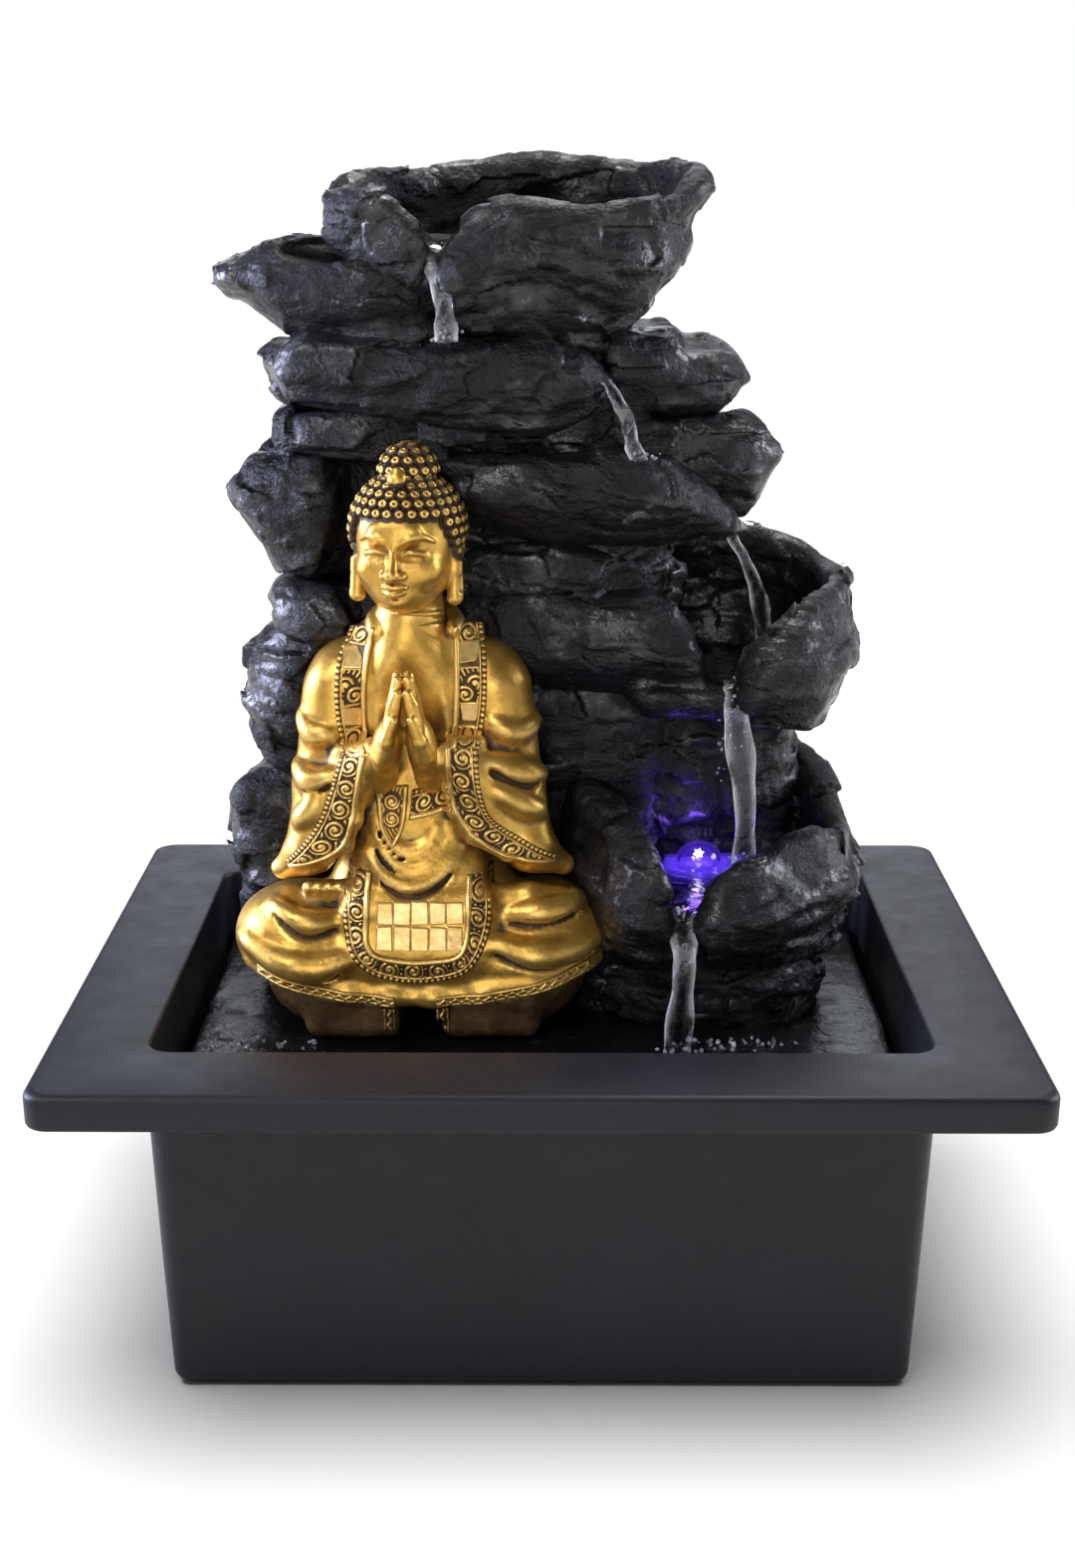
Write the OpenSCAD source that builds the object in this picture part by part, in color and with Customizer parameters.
// Tabletop water fountain: a lipped basin, a pump in its sump, and a lift-out rockwork with
// a seated figure, stepped ledges, catch bowls and one lamp. Millimetres, +Z up, and the
// origin is at the centre of the footprint, on the surface that the fountain stands on.

/* [Basin] */
// Width of the lip, left to right
lip_w = 210; // [200:1:220]
// Depth of the lip, front to back
lip_d = 170; // [165:1:176]
// Height of the lip's top face
basin_h = 81; // [78:1:84]
// How far the lip stands out past the tub's wall
overhang = 20; // [18:0.5:22]
// How much narrower the tub is at its floor, on each side
draft = 3.6; // [1:0.1:4]
// Thickness of the moulded wall
wall = 2; // [1.6:0.1:2.4]
// Height of the lip's turned-down skirt
skirt_h = 8; // [5:0.5:9]

/* [Rockwork] */
// Height of the rock bed's top face
bed_top = 66; // [62:1:68]
// Thickness of the rock bed
bed_t = 5; // [4:0.5:6]
// Gap between the rock bed and the basin's wall
bed_gap = 1.5; // [1:0.1:3]
// Radius of the duct that the hose climbs in
duct_r = 12.5; // [9:0.5:12.5]

/* [Figure] */
// Height of the seated figure, without its plinth
figure_h = 122; // [110:1:130]
// Height of the figure's plinth
plinth_h = 14; // [10:0.5:16]

/* [Pump] */
// Width and height of the pump's case
pump_w = 32; // [30:1:34]
// Length of the motor part of the case
motor_l = 28; // [26:1:30]
// Outer radius of the hose
hose_r = 5.5; // [5:0.1:6]
// Outer radius of the pump's outlet pipe
outlet_r = 4; // [3:0.1:4]

/* [Hidden] */
$fn = 48;
e = 0.01;

rock_grey = [0.17, 0.17, 0.19];
basin_black = [0.15, 0.15, 0.17];
gold = [0.78, 0.58, 0.2];
pump_black = [0.1, 0.1, 0.11];

// Basin
pad_h = 0.5;
lip_t = 2;
floor_z = pad_h + 2.5;
// What stands on the tub's floor is set this much above it
rest_gap = 0.05;
tub_x = lip_w / 2 - overhang;
tub_y = lip_d / 2 - overhang;
inner_x = tub_x - wall;
inner_y = tub_y - wall;
tub_corner_r = 7;
tub_edge_r = 3.5;
lip_corner_r = 5;
grommet_z = 70;
grommet_r = 4.5;
cable_r = 2.6;
pad_r = 6;
pad_x = 62;
pad_y = 44;

// Rock bed: the inner wall leans in by this much from the lip down to the bed's underside
bed_lean = draft * (basin_h - bed_top + bed_t) / basin_h;
bed_x = inner_x - bed_lean - bed_gap;
bed_y = inner_y - bed_lean - bed_gap;
leg_x = 68;
leg_y = 46;
leg_r = 5;

// Heights of the rock levels
plinth_top = bed_top + 14;
lower_bowl_top = bed_top + 52;
mid_slab_top = bed_top + 66;
left_boulder_top = bed_top + 55;
left_block_top = bed_top + 86;
left_shelf_top = bed_top + 98;
upper_bowl_top = bed_top + 103;
recess_top = bed_top + 107;
left_ledge_top = bed_top + 127;
middle_ledge_top = bed_top + 130;
wedge_top = bed_top + 135;
upper_ledge_top = bed_top + 156;
top_slab_top = bed_top + 176;
top_bowl_top = bed_top + 197;

// Rock core and the hose's line
core_x = 22;
core_front = 14;
core_back = 50;
hose_x = 0;
hose_y = 32;

// Pump: the axis runs along X through the outlet's line, and the intake faces -X
pump_z = floor_z + 5 + pump_w / 2;
volute_l = 14;
volute_x = hose_x - 9;
motor_x = volute_x + volute_l;
well_r = 7.2;
magnet_r = 6.4;
magnet_l = 18;
shaft_r = 1.5;
running = 0.05;
impeller_r = 9;
chamber_r = 10.6;
outlet_h = 10;
outlet_top = pump_z + pump_w / 2 + outlet_h;
cover_l = 17;
cover_grip = 3;
cover_x = volute_x + cover_grip - cover_l;
cover_wall = 1.8;
slider_travel = 7;
socket_x = motor_x + 20;

// Hose
hose_bore = outlet_r + running;
hose_foot = outlet_top - 8;
hose_top = top_bowl_top - 24;
bowl_floor = top_bowl_top - 19;

// Lamp
lamp_x = 38;
lamp_y = 20;
lamp_floor = plinth_top + 11;
lamp_r = 5;
lead_r = 1.1;

// Figure
fig_x = -28;
fig_y = -6;
fig_z = bed_top + plinth_h;
tile_t = 1;
collar_x = 13.1;
collar_mid = -1.7;
collar_front = -10;

// ---------- shared shapes ----------

module rounded_rect(hx, hy, r) {
    square([2 * hx, 2 * (hy - r)], center = true);
    square([2 * (hx - r), 2 * hy], center = true);
    for (sx = [-1, 1], sy = [-1, 1])
        translate([sx * (hx - r), sy * (hy - r)]) circle(r);
}

// A tub's solid: narrower at the floor, with rounded upright corners and floor edges
module tub_solid(hx, hy, z0, z1, lean, r, edge) {
    hull() {
        for (sx = [-1, 1], sy = [-1, 1]) {
            translate([sx * (hx - lean - edge), sy * (hy - lean - edge), z0 + edge])
                sphere(edge, $fn = 32);
            translate([sx * (hx - r), sy * (hy - r), z1 - 1]) cylinder(h = 1, r = r, $fn = 32);
        }
    }
}

function centroid(points) = [for (k = [0, 1]) let (c = [for (p = points) p[k]])
    (c * [for (p = points) 1]) / len(points)];

function shrunk(points, share) = let (c = centroid(points))
    [for (p = points) c + share * (p - c)];

// One flat layer of rock
module layer(points, z) {
    translate([0, 0, z]) linear_extrude(height = e) polygon(points);
}

// A weathered slab: drawn in at its foot and a little at its top, fullest at its belly
module slab(points, z0, z1, foot = 0.82, crown = 0.92, belly = 0.55) {
    hull() {
        layer(shrunk(points, foot), z0);
        layer(points, z0 + belly * (z1 - z0));
        layer(shrunk(points, crown), z1 - e);
    }
}

// The hollow of a catch bowl: wider at the rim
module hollow(points, z0, z1, foot = 0.7) {
    hull() {
        layer(shrunk(points, foot), z0);
        layer(points, z1);
    }
}

// The space that the core takes, which each rock leaves free
module core_space() {
    translate([-core_x, core_front, 0]) cube([2 * core_x, core_back - core_front, upper_ledge_top]);
}

module rock(points, z0, z1, foot = 0.82, crown = 0.92, belly = 0.55) {
    color(rock_grey) difference() {
        slab(points, z0, z1, foot, crown, belly);
        core_space();
    }
}

// ---------- basin ----------

// The whole tub under its lip. It is one moulding, drawn as a rear wall and the rest.
module tub_shell() {
    difference() {
        tub_solid(tub_x, tub_y, pad_h, basin_h, draft, tub_corner_r, tub_edge_r);
        tub_solid(inner_x, inner_y, floor_z, basin_h + 1, draft, tub_corner_r - wall, tub_edge_r - wall);
        translate([0, 0, basin_h - lip_t]) linear_extrude(height = 3)
            rounded_rect(lip_w, lip_d, 1);
    }
}

// Everything behind the rear wall's inner face, which leans by the draft
module behind_inner_face() {
    lean = atan(draft / (basin_h - pad_h));
    translate([0, inner_y - draft, floor_z]) rotate([-lean, 0, 0])
        translate([-lip_w, 0, -basin_h]) cube([2 * lip_w, 20, 3 * basin_h]);
}

module basin_tub() {
    color(basin_black) difference() {
        tub_shell();
        behind_inner_face();
    }
}

module basin_rear_wall() {
    color(basin_black) difference() {
        intersection() {
            tub_shell();
            behind_inner_face();
        }
        translate([pad_x, tub_y, grommet_z]) rotate([90, 0, 0])
            cylinder(h = 4 * wall, r = grommet_r, center = true);
    }
}

// The flat lip and its turned-down skirt, moulded on top of the tub's wall
module basin_lip() {
    color(basin_black) difference() {
        translate([0, 0, basin_h - skirt_h]) linear_extrude(height = skirt_h)
            rounded_rect(lip_w / 2, lip_d / 2, lip_corner_r);
        translate([0, 0, basin_h - skirt_h - 1]) linear_extrude(height = skirt_h + 1 - lip_t)
            rounded_rect(lip_w / 2 - wall, lip_d / 2 - wall, lip_corner_r - wall);
        tub_solid(inner_x, inner_y, floor_z, basin_h + 1, draft, tub_corner_r - wall, tub_edge_r - wall);
    }
}

module foot_pads() {
    color([0.08, 0.08, 0.08])
        for (sx = [-1, 1], sy = [-1, 1])
            translate([sx * pad_x, sy * pad_y, 0]) cylinder(h = pad_h, r = pad_r);
}

// A rubber ring in the rear wall, above the water line, that the supply cord leaves by
module cable_grommet() {
    face_y = inner_y - draft * (basin_h - grommet_z) / basin_h;
    color([0.1, 0.1, 0.1]) translate([pad_x, face_y - 1.6, grommet_z]) rotate([-90, 0, 0])
        rotate_extrude() polygon([
            [cable_r, 0], [grommet_r + 1.6, 0], [grommet_r + 1.6, 1.2], [grommet_r, 1.2],
            [grommet_r, 4.4], [grommet_r + 1.2, 4.4], [grommet_r + 0.6, 5.8], [cable_r, 5.8]
        ]);
}

// ---------- pump ----------

module along_x(x, y = hose_y, z = pump_z) {
    translate([x, y, z]) rotate([0, 90, 0]) children();
}

module pump_block(x0, length, half, r = 4) {
    along_x(x0) linear_extrude(height = length) rounded_rect(half, half, r);
}

stator_x = motor_x + 7;
stator_l = 12;

module stator_space() {
    translate([stator_x, hose_y - 13, pump_z - 13]) cube([stator_l, 26, 24]);
}

module pump_case() {
    color(pump_black) difference() {
        union() {
            pump_block(motor_x, motor_l, pump_w / 2);
            along_x(motor_x + motor_l - 2) cylinder(h = 4, r = pump_w / 2 - 5);
        }
        along_x(motor_x - 1) cylinder(h = magnet_l + 6, r = well_r);
        along_x(motor_x + magnet_l + 4) cylinder(h = 4, r = 3);
        stator_space();
        translate([socket_x, hose_y + 7, pump_z + pump_w / 2 - 4]) cube([9, 7, 9], center = true);
        along_x(motor_x + motor_l - 4, hose_y - 6, pump_z - 8) cylinder(h = 8, r = 3);
    }
}

// The rotor's well lines the stator's window, so the iron never touches the water
module stator_core() {
    color([0.45, 0.45, 0.47]) difference() {
        stator_space();
        along_x(stator_x - 1) cylinder(h = stator_l + 2, r = well_r + 1.2);
        translate([stator_x - 1, hose_y - 7, pump_z - 13 - e]) cube([stator_l + 2, 14, 5]);
    }
    color(pump_black) difference() {
        along_x(stator_x) cylinder(h = stator_l, r = well_r + 1.2);
        along_x(stator_x - 1) cylinder(h = stator_l + 2, r = well_r);
    }
}

module stator_coil() {
    color([0.72, 0.42, 0.2])
        translate([stator_x + 0.4, hose_y - 6.8, pump_z - 12.8]) cube([stator_l - 0.8, 13.6, 4.2]);
}

module volute() {
    color(pump_black) difference() {
        union() {
            pump_block(volute_x, volute_l, pump_w / 2 - 2.1);
            translate([hose_x, hose_y, pump_z + 10])
                cylinder(h = outlet_top - pump_z - 10, r = outlet_r);
            translate([hose_x, hose_y, pump_z + pump_w / 2 - 2.5]) cylinder(h = 2, r = outlet_r + 1.5);
        }
        along_x(volute_x + 2) cylinder(h = volute_l, r = chamber_r);
        along_x(volute_x - 1) cylinder(h = 4, r = 4.6);
        translate([hose_x, hose_y, pump_z]) cylinder(h = outlet_h + pump_w, r = outlet_r - 1.3);
    }
    // A three-armed spider in the inlet carries the front bush
    color(pump_black) difference() {
        union() {
            along_x(volute_x) cylinder(h = 2, r = 3);
            for (k = [0:2]) along_x(volute_x) rotate([0, 0, 120 * k])
                translate([0, -0.7, 0]) cube([4.7, 1.4, 2]);
        }
        along_x(volute_x - 1) cylinder(h = 4, r = 2.4);
    }
}

front_bush_x = volute_x;
rear_bush_x = motor_x + magnet_l + 5;

module shaft() {
    color([0.9, 0.9, 0.86]) along_x(front_bush_x + 0.5)
        cylinder(h = rear_bush_x + 2 - front_bush_x, r = shaft_r);
}

module shaft_bushes() {
    color([0.15, 0.15, 0.15]) {
        difference() {
            along_x(front_bush_x) cylinder(h = 2, r = 2.4);
            along_x(front_bush_x + 0.5) cylinder(h = 4, r = shaft_r);
        }
        difference() {
            along_x(rear_bush_x) cylinder(h = 3, r = 3);
            along_x(rear_bush_x - 1) cylinder(h = 3.5, r = shaft_r);
        }
    }
}

module suction_cups() {
    cup_h = pump_z - pump_w / 2 - floor_z - rest_gap;
    color([0.2, 0.2, 0.22])
        for (x = [motor_x + 5, motor_x + motor_l - 5], y = [-1, 1])
            translate([x, hose_y + 9 * y, floor_z + rest_gap]) rotate_extrude()
                polygon([
                    [0, 1], [3, 0.8], [5.5, 0], [6, 0], [4, 2.2], [2.2, 3],
                    [2.2, cup_h], [0, cup_h]
                ]);
}

module cord_gland() {
    color([0.12, 0.12, 0.12]) along_x(motor_x + motor_l - 4, hose_y - 6, pump_z - 8) difference() {
        union() {
            cylinder(h = 6, r = 3);
            translate([0, 0, 6]) cylinder(h = 6, r1 = 4, r2 = 3);
        }
        translate([0, 0, 1]) cylinder(h = 12, r = 1.8);
    }
}

module led_socket() {
    top = pump_z + pump_w / 2;
    color([0.85, 0.85, 0.82]) difference() {
        translate([socket_x, hose_y + 7, top - 0.5]) cube([9, 7, 7], center = true);
        translate([socket_x, hose_y + 7, top + 1]) cube([7.2, 5.2, 5], center = true);
    }
}

// A cap over the intake, slotted all round, that pulls off forwards
module strainer_cover() {
    half = pump_w / 2;
    color(pump_black) difference() {
        pump_block(cover_x, cover_l, half);
        along_x(cover_x + cover_wall) linear_extrude(height = cover_l)
            rounded_rect(half - cover_wall, half - cover_wall, 3);
        for (k = [-2:2]) translate([cover_x + 4, hose_y + 5 * k - 1, pump_z - half - 1])
            cube([7, 2, pump_w + 2]);
        for (k = [-1, 1]) translate([cover_x + 4, hose_y - half - 1, pump_z + 5 * k - 1])
            cube([7, pump_w + 2, 2]);
        translate([cover_x - 1, hose_y - 7, pump_z - 3]) cube([cover_wall + 2, 8, 6]);
    }
    // Lipped rails that hold the flow slider
    color(pump_black) for (k = [-1, 1]) {
        translate([cover_x - 2.6, hose_y - 12, pump_z + k * 6.1 - 0.75]) cube([2.6, 24, 1.5]);
        translate([cover_x - 2.6, hose_y - 12, pump_z + k * 5.6 - 1.2]) cube([0.8, 24, 2.4]);
    }
}

module flow_slider() {
    color([0.75, 0.12, 0.1]) {
        translate([cover_x - 1.6, hose_y - 8, pump_z - 5]) cube([1.5, 9.5, 10]);
        translate([cover_x - 4.1, hose_y - 1.5, pump_z - 2.5]) cube([2.6, 2, 5]);
    }
}

module rotor_magnet() {
    color([0.25, 0.25, 0.27]) difference() {
        along_x(motor_x + 3) cylinder(h = magnet_l, r = magnet_r);
        along_x(motor_x) cylinder(h = magnet_l + 6, r = shaft_r + running);
    }
}

module impeller() {
    color([0.92, 0.92, 0.9]) difference() {
        union() {
            along_x(volute_x + 3) cylinder(h = motor_x + 3 - volute_x - 3, r = 3.4);
            along_x(motor_x - 1.6) cylinder(h = 1.2, r = impeller_r);
            for (k = [0:5]) along_x(volute_x + 3.2) rotate([0, 0, 60 * k])
                translate([2.5, -0.6, 0]) cube([impeller_r - 2.6, 1.2, motor_x - volute_x - 4.2]);
        }
        along_x(volute_x) cylinder(h = 30, r = shaft_r + running);
    }
}

// ---------- rockwork ----------

// Four posts that hold the deck over the sump
module bed_legs() {
    color(rock_grey)
        for (sx = [-1, 1], sy = [-1, 1])
            translate([sx * leg_x, sy * leg_y, floor_z + rest_gap])
                cylinder(h = bed_top - bed_t - floor_z - rest_gap, r = leg_r);
}

// The deck that carries everything
module rock_bed() {
    bed_z = bed_top - bed_t;
    color(rock_grey) difference() {
        translate([0, 0, bed_z]) linear_extrude(height = bed_t) rounded_rect(bed_x, bed_y, 5);
        translate([hose_x, hose_y, bed_z - 1]) cylinder(h = bed_t + 2, r = duct_r);
        translate([lamp_x, lamp_y, bed_z - 1]) cylinder(h = bed_t + 2, r = lamp_r);
        // Drain slots return the water to the sump
        for (k = [-4:4]) translate([18 * k - 2, -bed_y + 8, bed_z - 1]) cube([4, 9, bed_t + 2]);
    }
}

module rock_core() {
    color(rock_grey) difference() {
        translate([-core_x, core_front, bed_top])
            cube([2 * core_x, core_back - core_front, upper_ledge_top - bed_top]);
        translate([hose_x, hose_y, bed_top - 1]) cylinder(h = upper_ledge_top, r = duct_r);
    }
}

top_bowl_plan = [[-46, 14], [-38, 3], [-27, -4], [-16, -6], [2, -7], [20, -4], [33, 6], [38, 20],
    [35, 38], [18, 50], [-8, 52], [-32, 44], [-44, 30]];
top_hollow_plan = [[-36, 16], [-28, 6], [-12, 2], [8, 2], [24, 8], [30, 20], [26, 34], [10, 42],
    [-10, 44], [-28, 36]];

module top_bowl_body() {
    hull() {
        layer(shrunk(top_bowl_plan, 0.45), upper_ledge_top);
        layer(shrunk(top_bowl_plan, 0.88), top_bowl_top - 18);
        layer(top_bowl_plan, top_bowl_top - 8);
        layer([for (p = top_bowl_plan) if (p[1] > 18) p], top_bowl_top - e);
    }
}

module top_bowl() {
    color(rock_grey) difference() {
        top_bowl_body();
        hollow(top_hollow_plan, bowl_floor, top_bowl_top + 1, 0.88);
        translate([-26, -12, top_bowl_top - 18]) cube([10, 26, 30]);
        translate([hose_x, hose_y, upper_ledge_top - 1]) cylinder(h = 40, r = hose_r + 0.5);
    }
}

module top_left_slab() {
    color(rock_grey) difference() {
        slab([[-77, 26], [-66, 12], [-50, 4], [-34, 2], [-18, 8], [-14, 30], [-20, 46], [-40, 50], [-62, 42]],
            upper_ledge_top, top_slab_top, 0.6, 0.85, 0.6);
        top_bowl_body();
    }
}

module upper_ledge() {
    rock([[-66, 22], [-62, 8], [-50, 1], [-30, -2], [-4, -3], [12, 0], [18, 8], [17.9, 52], [-10, 54], [-40, 52], [-60, 42]],
        wedge_top, upper_ledge_top, 0.9, 0.93, 0.6);
}

module upper_left_wedge() {
    rock([[-64, 24], [-58, 10], [-44, 5], [-23, 5], [-22, 50], [-44, 50], [-58, 40]],
        left_ledge_top, wedge_top, 0.92, 0.9);
}

module right_outcrop_high() {
    rock([[18.1, 18], [30, 14], [42, 18], [50, 28], [48, 42], [34, 50], [18.1, 52]],
        wedge_top, upper_ledge_top, 0.86, 0.75, 0.5);
}

module right_outcrop_low() {
    rock([[28, 22], [40, 17], [52, 20], [57, 30], [53, 42], [38, 50], [22, 50], [22, 30]],
        upper_bowl_top + 6, wedge_top, 0.86, 0.9, 0.7);
}

module middle_ledge() {
    color(rock_grey) difference() {
        slab([[-22, 4], [-8, -1], [10, -3], [26, -1], [38, 6], [45, 15], [42, 24], [20, 27], [-10, 27], [-22, 24]],
            recess_top, middle_ledge_top, 0.72, 0.95, 0.7);
        core_space();
        right_outcrop_low();
    }
}

module left_ledge() {
    rock([[-76, 26], [-74, 14], [-66, 4], [-50, 1], [-43, 7.5], [-22.1, 8.5], [-22.1, 50], [-40, 54], [-62, 48], [-72, 38]],
        left_shelf_top, left_ledge_top, 0.74, 0.88, 0.62);
}

module recess_slab() {
    rock([[-22, 10], [-8, 6], [14, 5], [28, 8], [34, 20], [30, 40], [10, 52], [-22, 50]],
        upper_bowl_top, recess_top, 0.95, 0.95);
}

upper_bowl_plan = [[-21, 12], [-8, 4], [10, 1], [26, 2], [38, 4], [48, 6], [60, 10], [70, 18],
    [75, 30], [72, 44], [58, 54], [34, 56], [8, 54], [-16, 52]];
upper_hollow_plan = [[24, 16], [34, 11], [50, 12], [62, 18], [67, 30], [62, 42], [44, 48], [26, 44]];

module upper_catch_bowl() {
    color(rock_grey) difference() {
        slab(upper_bowl_plan, mid_slab_top, upper_bowl_top, 0.72, 0.97, 0.75);
        hollow(upper_hollow_plan, mid_slab_top + 9, upper_bowl_top + 1);
        translate([39, 0, mid_slab_top + 12]) cube([9, 16, 40]);
        translate([-30, -10, upper_bowl_top - 7]) cube([62, 24, 20]);
        core_space();
    }
}

module left_shelf() {
    rock([[-66, 24], [-60, 8], [-44, 2], [-22.1, 6], [-22.1, 50], [-46, 52], [-60, 42]],
        left_block_top, left_shelf_top, 0.95, 0.86);
}

module left_block() {
    rock([[-75, 24], [-71, 10], [-60, 4], [-52, 6], [-36, 9], [-22.1, 11], [-22.1, 50], [-44, 54], [-66, 44]],
        left_boulder_top, left_block_top, 0.8, 0.86, 0.5);
}

module left_boulder() {
    rock([[-79, 26], [-76, 14], [-64, 10], [-22.1, 13], [-22.1, 50], [-48, 56], [-72, 46]],
        bed_top, left_boulder_top, 0.86, 0.72, 0.6);
}

module mid_slab() {
    rock([[22.1, 16], [36, 17], [50, 18], [60, 26], [60, 42], [48, 52], [22.1, 54]],
        lower_bowl_top, mid_slab_top, 0.95, 0.9);
}

lower_bowl_plan = [[8, 8], [12, -6], [22, -18], [32, -25], [44, -20], [60, -12], [72, -2],
    [76, 16], [73, 34], [60, 48], [36, 52], [14, 50], [8, 30]];
lower_hollow_plan = [[18, 4], [24, -8], [34, -14], [50, -10], [62, 0], [66, 16], [60, 30], [44, 36], [24, 32]];

module lower_bowl() {
    color(rock_grey) difference() {
        slab(lower_bowl_plan, plinth_top, lower_bowl_top, 0.7, 0.98, 0.72);
        hollow(lower_hollow_plan, lamp_floor, lower_bowl_top + 1);
        translate([27, -40, plinth_top + 23]) cube([9, 32, 40]);
        core_space();
        translate([lamp_x, lamp_y, plinth_top - 1]) cylinder(h = 30, r = lamp_r);
    }
}

module lower_plinth() {
    color(rock_grey) difference() {
        slab([[10, 4], [22, -5], [38, -8], [56, -4], [67, 5], [70, 22], [62, 44], [40, 52], [22.1, 50], [12, 30]],
            bed_top, plinth_top, 0.97, 0.92);
        core_space();
        translate([lamp_x, lamp_y, bed_top - 1]) cylinder(h = 30, r = lamp_r);
    }
}

// ---------- water path ----------

module water_hose() {
    color([0.8, 0.85, 0.85]) difference() {
        translate([hose_x, hose_y, hose_foot]) cylinder(h = hose_top - hose_foot, r = hose_r);
        translate([hose_x, hose_y, hose_foot - 1]) cylinder(h = hose_top - hose_foot + 2, r = hose_bore);
    }
}

module bowl_nozzle() {
    shank = hose_bore - running;
    color(pump_black) translate([hose_x, hose_y, hose_top - 8]) rotate_extrude()
        polygon([
            [shank - 1.2, 0], [shank, 0], [shank, bowl_floor - hose_top + 8],
            [6.5, bowl_floor - hose_top + 8], [6, bowl_floor - hose_top + 10],
            [shank, bowl_floor - hose_top + 11], [shank - 1.2, bowl_floor - hose_top + 11]
        ]);
}

module hose_clips() {
    color([0.12, 0.12, 0.13])
        for (z = [bed_top + 45, bed_top + 115]) difference() {
            union() {
                translate([hose_x, hose_y, z]) cylinder(h = 7, r = hose_r + 1.6);
                translate([hose_x - 2, hose_y, z]) cube([4, sqrt(duct_r * duct_r - 4) - 0.02, 7]);
            }
            translate([hose_x, hose_y, z - 1]) cylinder(h = 9, r = hose_r);
            translate([hose_x - 3, hose_y - 12, z - 1]) cube([6, 10, 9]);
        }
}

// ---------- lamp ----------

module led_housing() {
    color([0.15, 0.15, 0.16]) difference() {
        union() {
            translate([lamp_x, lamp_y, lamp_floor - 8]) cylinder(h = 8, r = lamp_r - 1);
            translate([lamp_x, lamp_y, lamp_floor + 1]) cylinder(h = 4, r = lamp_r + 1);
            translate([lamp_x, lamp_y, lamp_floor - 1]) cylinder(h = 2, r = lamp_r - 1);
        }
        translate([lamp_x, lamp_y, lamp_floor - 1]) cylinder(h = 8, r = lamp_r - 1.6);
        translate([lamp_x, lamp_y, lamp_floor - 9]) cylinder(h = 9, r = lead_r + 0.1);
    }
}

module led_seal() {
    color([0.1, 0.1, 0.1]) translate([lamp_x, lamp_y, lamp_floor]) difference() {
        cylinder(h = 1, r = lamp_r + 0.8);
        translate([0, 0, -1]) cylinder(h = 3, r = lamp_r - 1);
    }
}

module led_emitter() {
    color([0.7, 0.6, 1]) translate([lamp_x, lamp_y, lamp_floor - 1]) {
        cylinder(h = 1.2, r = 3.2);
        translate([-1.6, -1.6, 1.2 - e]) cube([3.2, 3.2, 1.4]);
    }
}

module led_lens() {
    color([0.85, 0.85, 1, 0.5]) translate([lamp_x, lamp_y, lamp_floor + 5]) difference() {
        intersection() {
            sphere(lamp_r + 1);
            translate([-20, -20, 0]) cube([40, 40, 20]);
        }
        intersection() {
            sphere(lamp_r - 0.2);
            translate([-20, -20, -1]) cube([40, 40, 21]);
        }
    }
}

plug_top = pump_z + pump_w / 2 + 6;
lead_route = [[lamp_x, lamp_y, lamp_floor - 1.5], [lamp_x, lamp_y, 84], [lamp_x, lamp_y, 78],
    [lamp_x, lamp_y, 70], [lamp_x, lamp_y, 63], [37.5, 21, 58], [35.5, 25, 55.5], [32, 30, 54.5],
    [28, 35, 54], [25.6, 38, 52.5], [socket_x, hose_y + 7, 50], [socket_x, hose_y + 7, plug_top]];
lead_sides = 8;

// A tube swept along a route: each ring lies square to the line through its neighbours
module swept_tube(route, r) {
    last = len(route) - 1;
    function unit(v) = v / norm(v);
    function ring(i) = let (
        t = unit(route[min(i + 1, last)] - route[max(i - 1, 0)]),
        u = unit(cross(t, abs(t[0]) > 0.9 ? [0, 1, 0] : [1, 0, 0])),
        v = cross(t, u)
    ) [for (k = [0:lead_sides - 1]) let (a = 360 * k / lead_sides)
        route[i] + r * (cos(a) * u + sin(a) * v)];
    polyhedron(
        points = [for (i = [0:last]) each ring(i)],
        faces = concat(
            [[for (k = [0:lead_sides - 1]) k]],
            [for (i = [0:last - 1], k = [0:lead_sides - 1]) let (n = (k + 1) % lead_sides)
                [i * lead_sides + k, (i + 1) * lead_sides + k, (i + 1) * lead_sides + n, i * lead_sides + n]],
            [[for (k = [lead_sides - 1:-1:0]) last * lead_sides + k]]
        )
    );
}

module led_lead() {
    color([0.1, 0.1, 0.1]) swept_tube(lead_route, lead_r);
}

module led_plug() {
    top = pump_z + pump_w / 2;
    color([0.9, 0.9, 0.87]) {
        translate([socket_x, hose_y + 7, top + 1.2]) cube([6.8, 4.8, 4.6], center = true);
        translate([socket_x, hose_y + 7, top + 4.75]) cube([5, 3.6, 2.5 + e], center = true);
    }
}

// ---------- figure ----------

module blob(p, r, fn = 20) {
    translate(p) sphere(r, $fn = fn);
}

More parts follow.
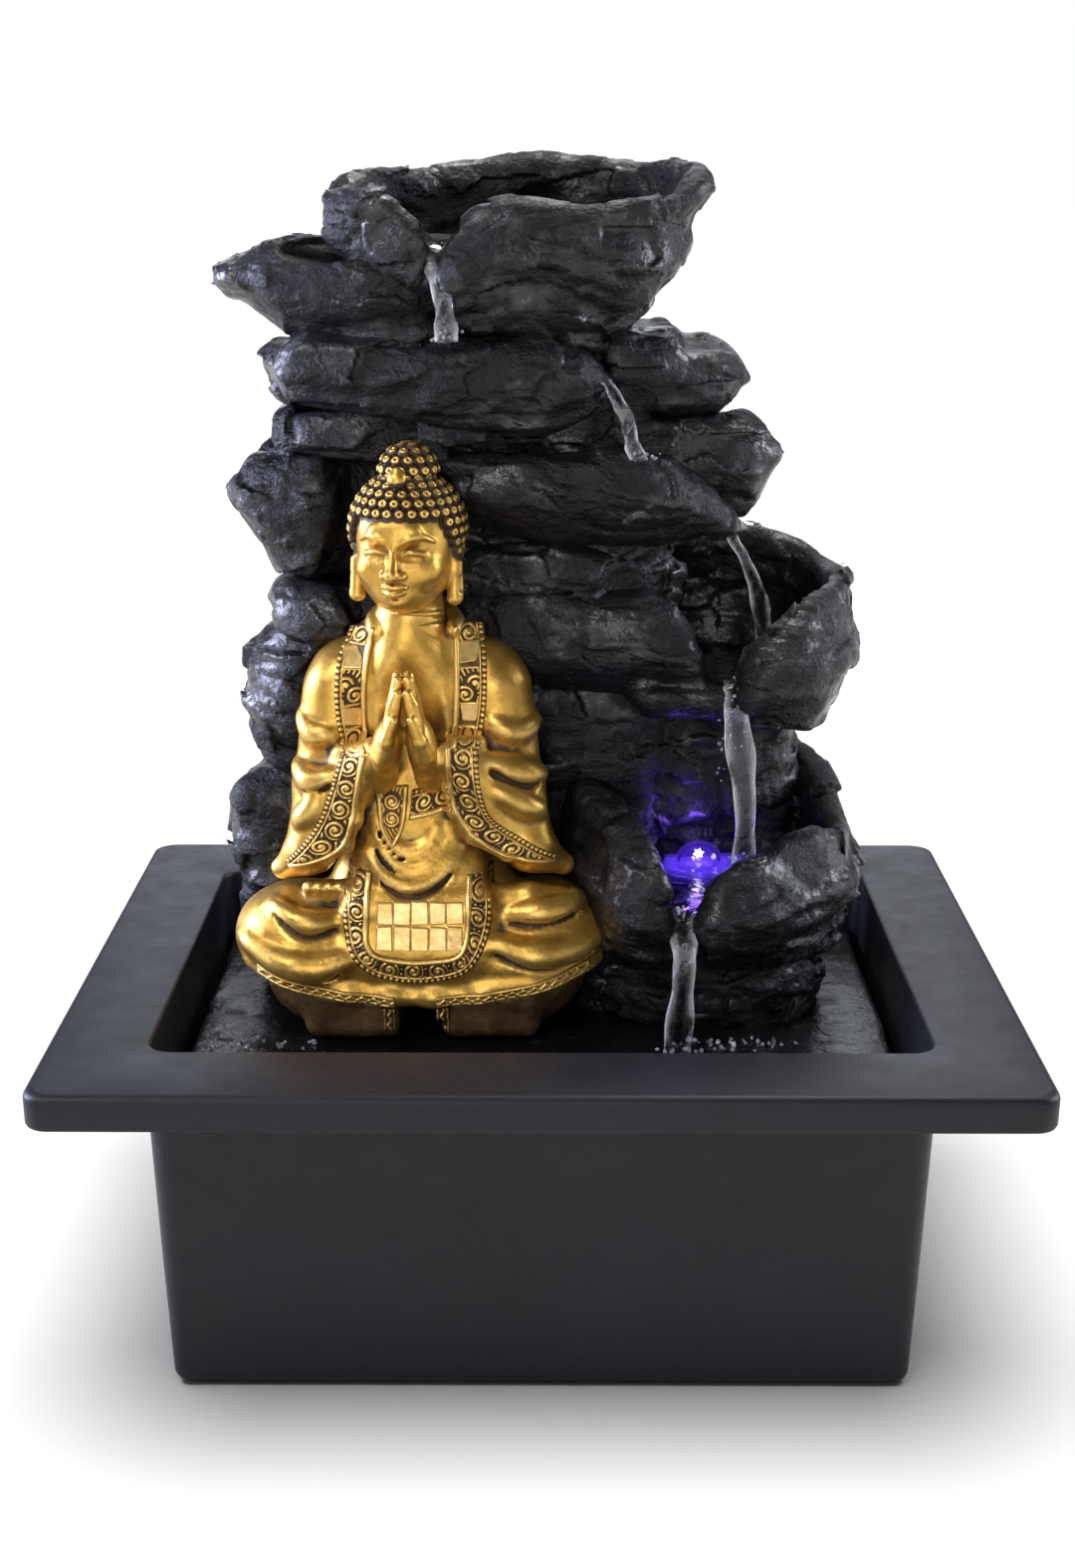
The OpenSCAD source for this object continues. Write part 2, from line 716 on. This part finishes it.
// A seated figure, hands together: plain masses of the right size and place
module figure() {
    h = figure_h;
    color(gold) translate([fig_x, fig_y, fig_z]) {
        // crossed legs
        hull() {
            blob([-28.5, -5, 13], 13);
            blob([-15, -9, 9], 9);
            blob([-22, 6, 10], 10);
        }
        hull() {
            blob([29.5, -5, 13], 13);
            blob([15, -9, 9], 9);
            blob([22, 6, 10], 10);
        }
        hull() {
            blob([-20, -7, 8], 8);
            blob([20, -7, 8], 8);
            blob([0, 6, 9], 9);
        }
        // trunk
        hull() {
            blob([-13, 4, 20], 11);
            blob([13, 4, 20], 11);
            blob([-17, 1, 0.54 * h], 8);
            blob([17, 1, 0.54 * h], 8);
        }
        // sleeves
        for (s = [-1, 1]) {
            hull() {
                blob([s * 19, 0, 0.53 * h], 8);
                blob([s * 20, -4, 0.36 * h], 9);
            }
            hull() {
                blob([s * 20, -6, 0.34 * h], 8);
                blob([s * 8, -13, 0.42 * h], 4.5);
                blob([s * 24, -6, 0.2 * h], 6);
            }
        }
        // robe's collars, flat in front for the tiles
        for (s = [-1, 1]) hull()
            for (dx = [-2.5, 2.5], z = [0.47 * h, 0.62 * h])
                translate([collar_mid + s * collar_x + dx, collar_front + 4, z]) sphere(4, $fn = 24);
        // hands
        hull() {
            blob([0, -13, 0.42 * h], 5);
            blob([0, -15, 0.58 * h], 2.5);
        }
        // neck, head and topknot
        hull() {
            blob([0, 0, 0.62 * h], 7);
            blob([0, 0, 0.7 * h], 6.5);
        }
        hull() {
            blob([0, -4, 0.76 * h], 9);
            blob([0, -1, 0.84 * h], 13);
        }
        hull() {
            blob([0, 0, 0.9 * h], 9);
            blob([0, 0, 0.96 * h], 0.04 * h);
        }
    }
}

// Two stone-like halves with a gap between them, level on top
module figure_plinth() {
    color([0.3, 0.22, 0.12]) translate([fig_x, fig_y, bed_top]) difference() {
        union() {
            for (s = [-1, 1]) hull() {
                translate([s * 26, -3, 0]) cylinder(h = plinth_h - 1, r1 = 9, r2 = 13, $fn = 24);
                translate([s * 8, -8, 0]) cylinder(h = plinth_h - 1, r1 = 7, r2 = 9, $fn = 24);
                translate([s * 12, 6, 0]) cylinder(h = plinth_h - 1, r1 = 7, r2 = 9, $fn = 24);
            }
        }
        translate([-4, -30, -1]) cube([8, 26, plinth_h + 2]);
        for (s = [-1, 1]) translate([s * 18, 0, -1]) cylinder(h = plinth_h + 2, r = 2);
    }
}

// Cast pegs that key the plinth to the figure
module figure_pegs() {
    color([0.3, 0.22, 0.12])
        for (s = [-1, 1]) translate([fig_x + 18 * s, fig_y, bed_top]) cylinder(h = plinth_h - 1, r = 2);
}

// Small mirror tiles, set proud of the robe's front bands
module shoulder_tiles() {
    color([0.85, 0.66, 0.3])
        for (s = [-1, 1], z = [0.6, 0.49])
            translate([fig_x + collar_mid + collar_x * s, fig_y + collar_front - tile_t / 2, fig_z + z * figure_h])
                cube([4.8, tile_t, 4.6], center = true);
}

module apron_tiles() {
    color([0.85, 0.66, 0.3])
        for (row = [0, 1], k = [-2:2])
            translate([fig_x + 4.3 * k, fig_y - 17.6, fig_z + 11 + 5.6 * row])
                cube([4, tile_t, 5.2], center = true);
}

basin_tub();
basin_rear_wall();
basin_lip();
foot_pads();
cable_grommet();
pump_case();
stator_core();
stator_coil();
volute();
shaft();
shaft_bushes();
suction_cups();
cord_gland();
led_socket();
strainer_cover();
flow_slider();
rotor_magnet();
impeller();
rock_bed();
bed_legs();
rock_core();
top_bowl();
top_left_slab();
upper_ledge();
upper_left_wedge();
right_outcrop_high();
right_outcrop_low();
middle_ledge();
left_ledge();
recess_slab();
upper_catch_bowl();
left_shelf();
left_block();
left_boulder();
mid_slab();
lower_bowl();
lower_plinth();
water_hose();
bowl_nozzle();
hose_clips();
led_housing();
led_lens();
led_emitter();
led_seal();
led_lead();
led_plug();
figure();
figure_plinth();
figure_pegs();
shoulder_tiles();
apron_tiles();
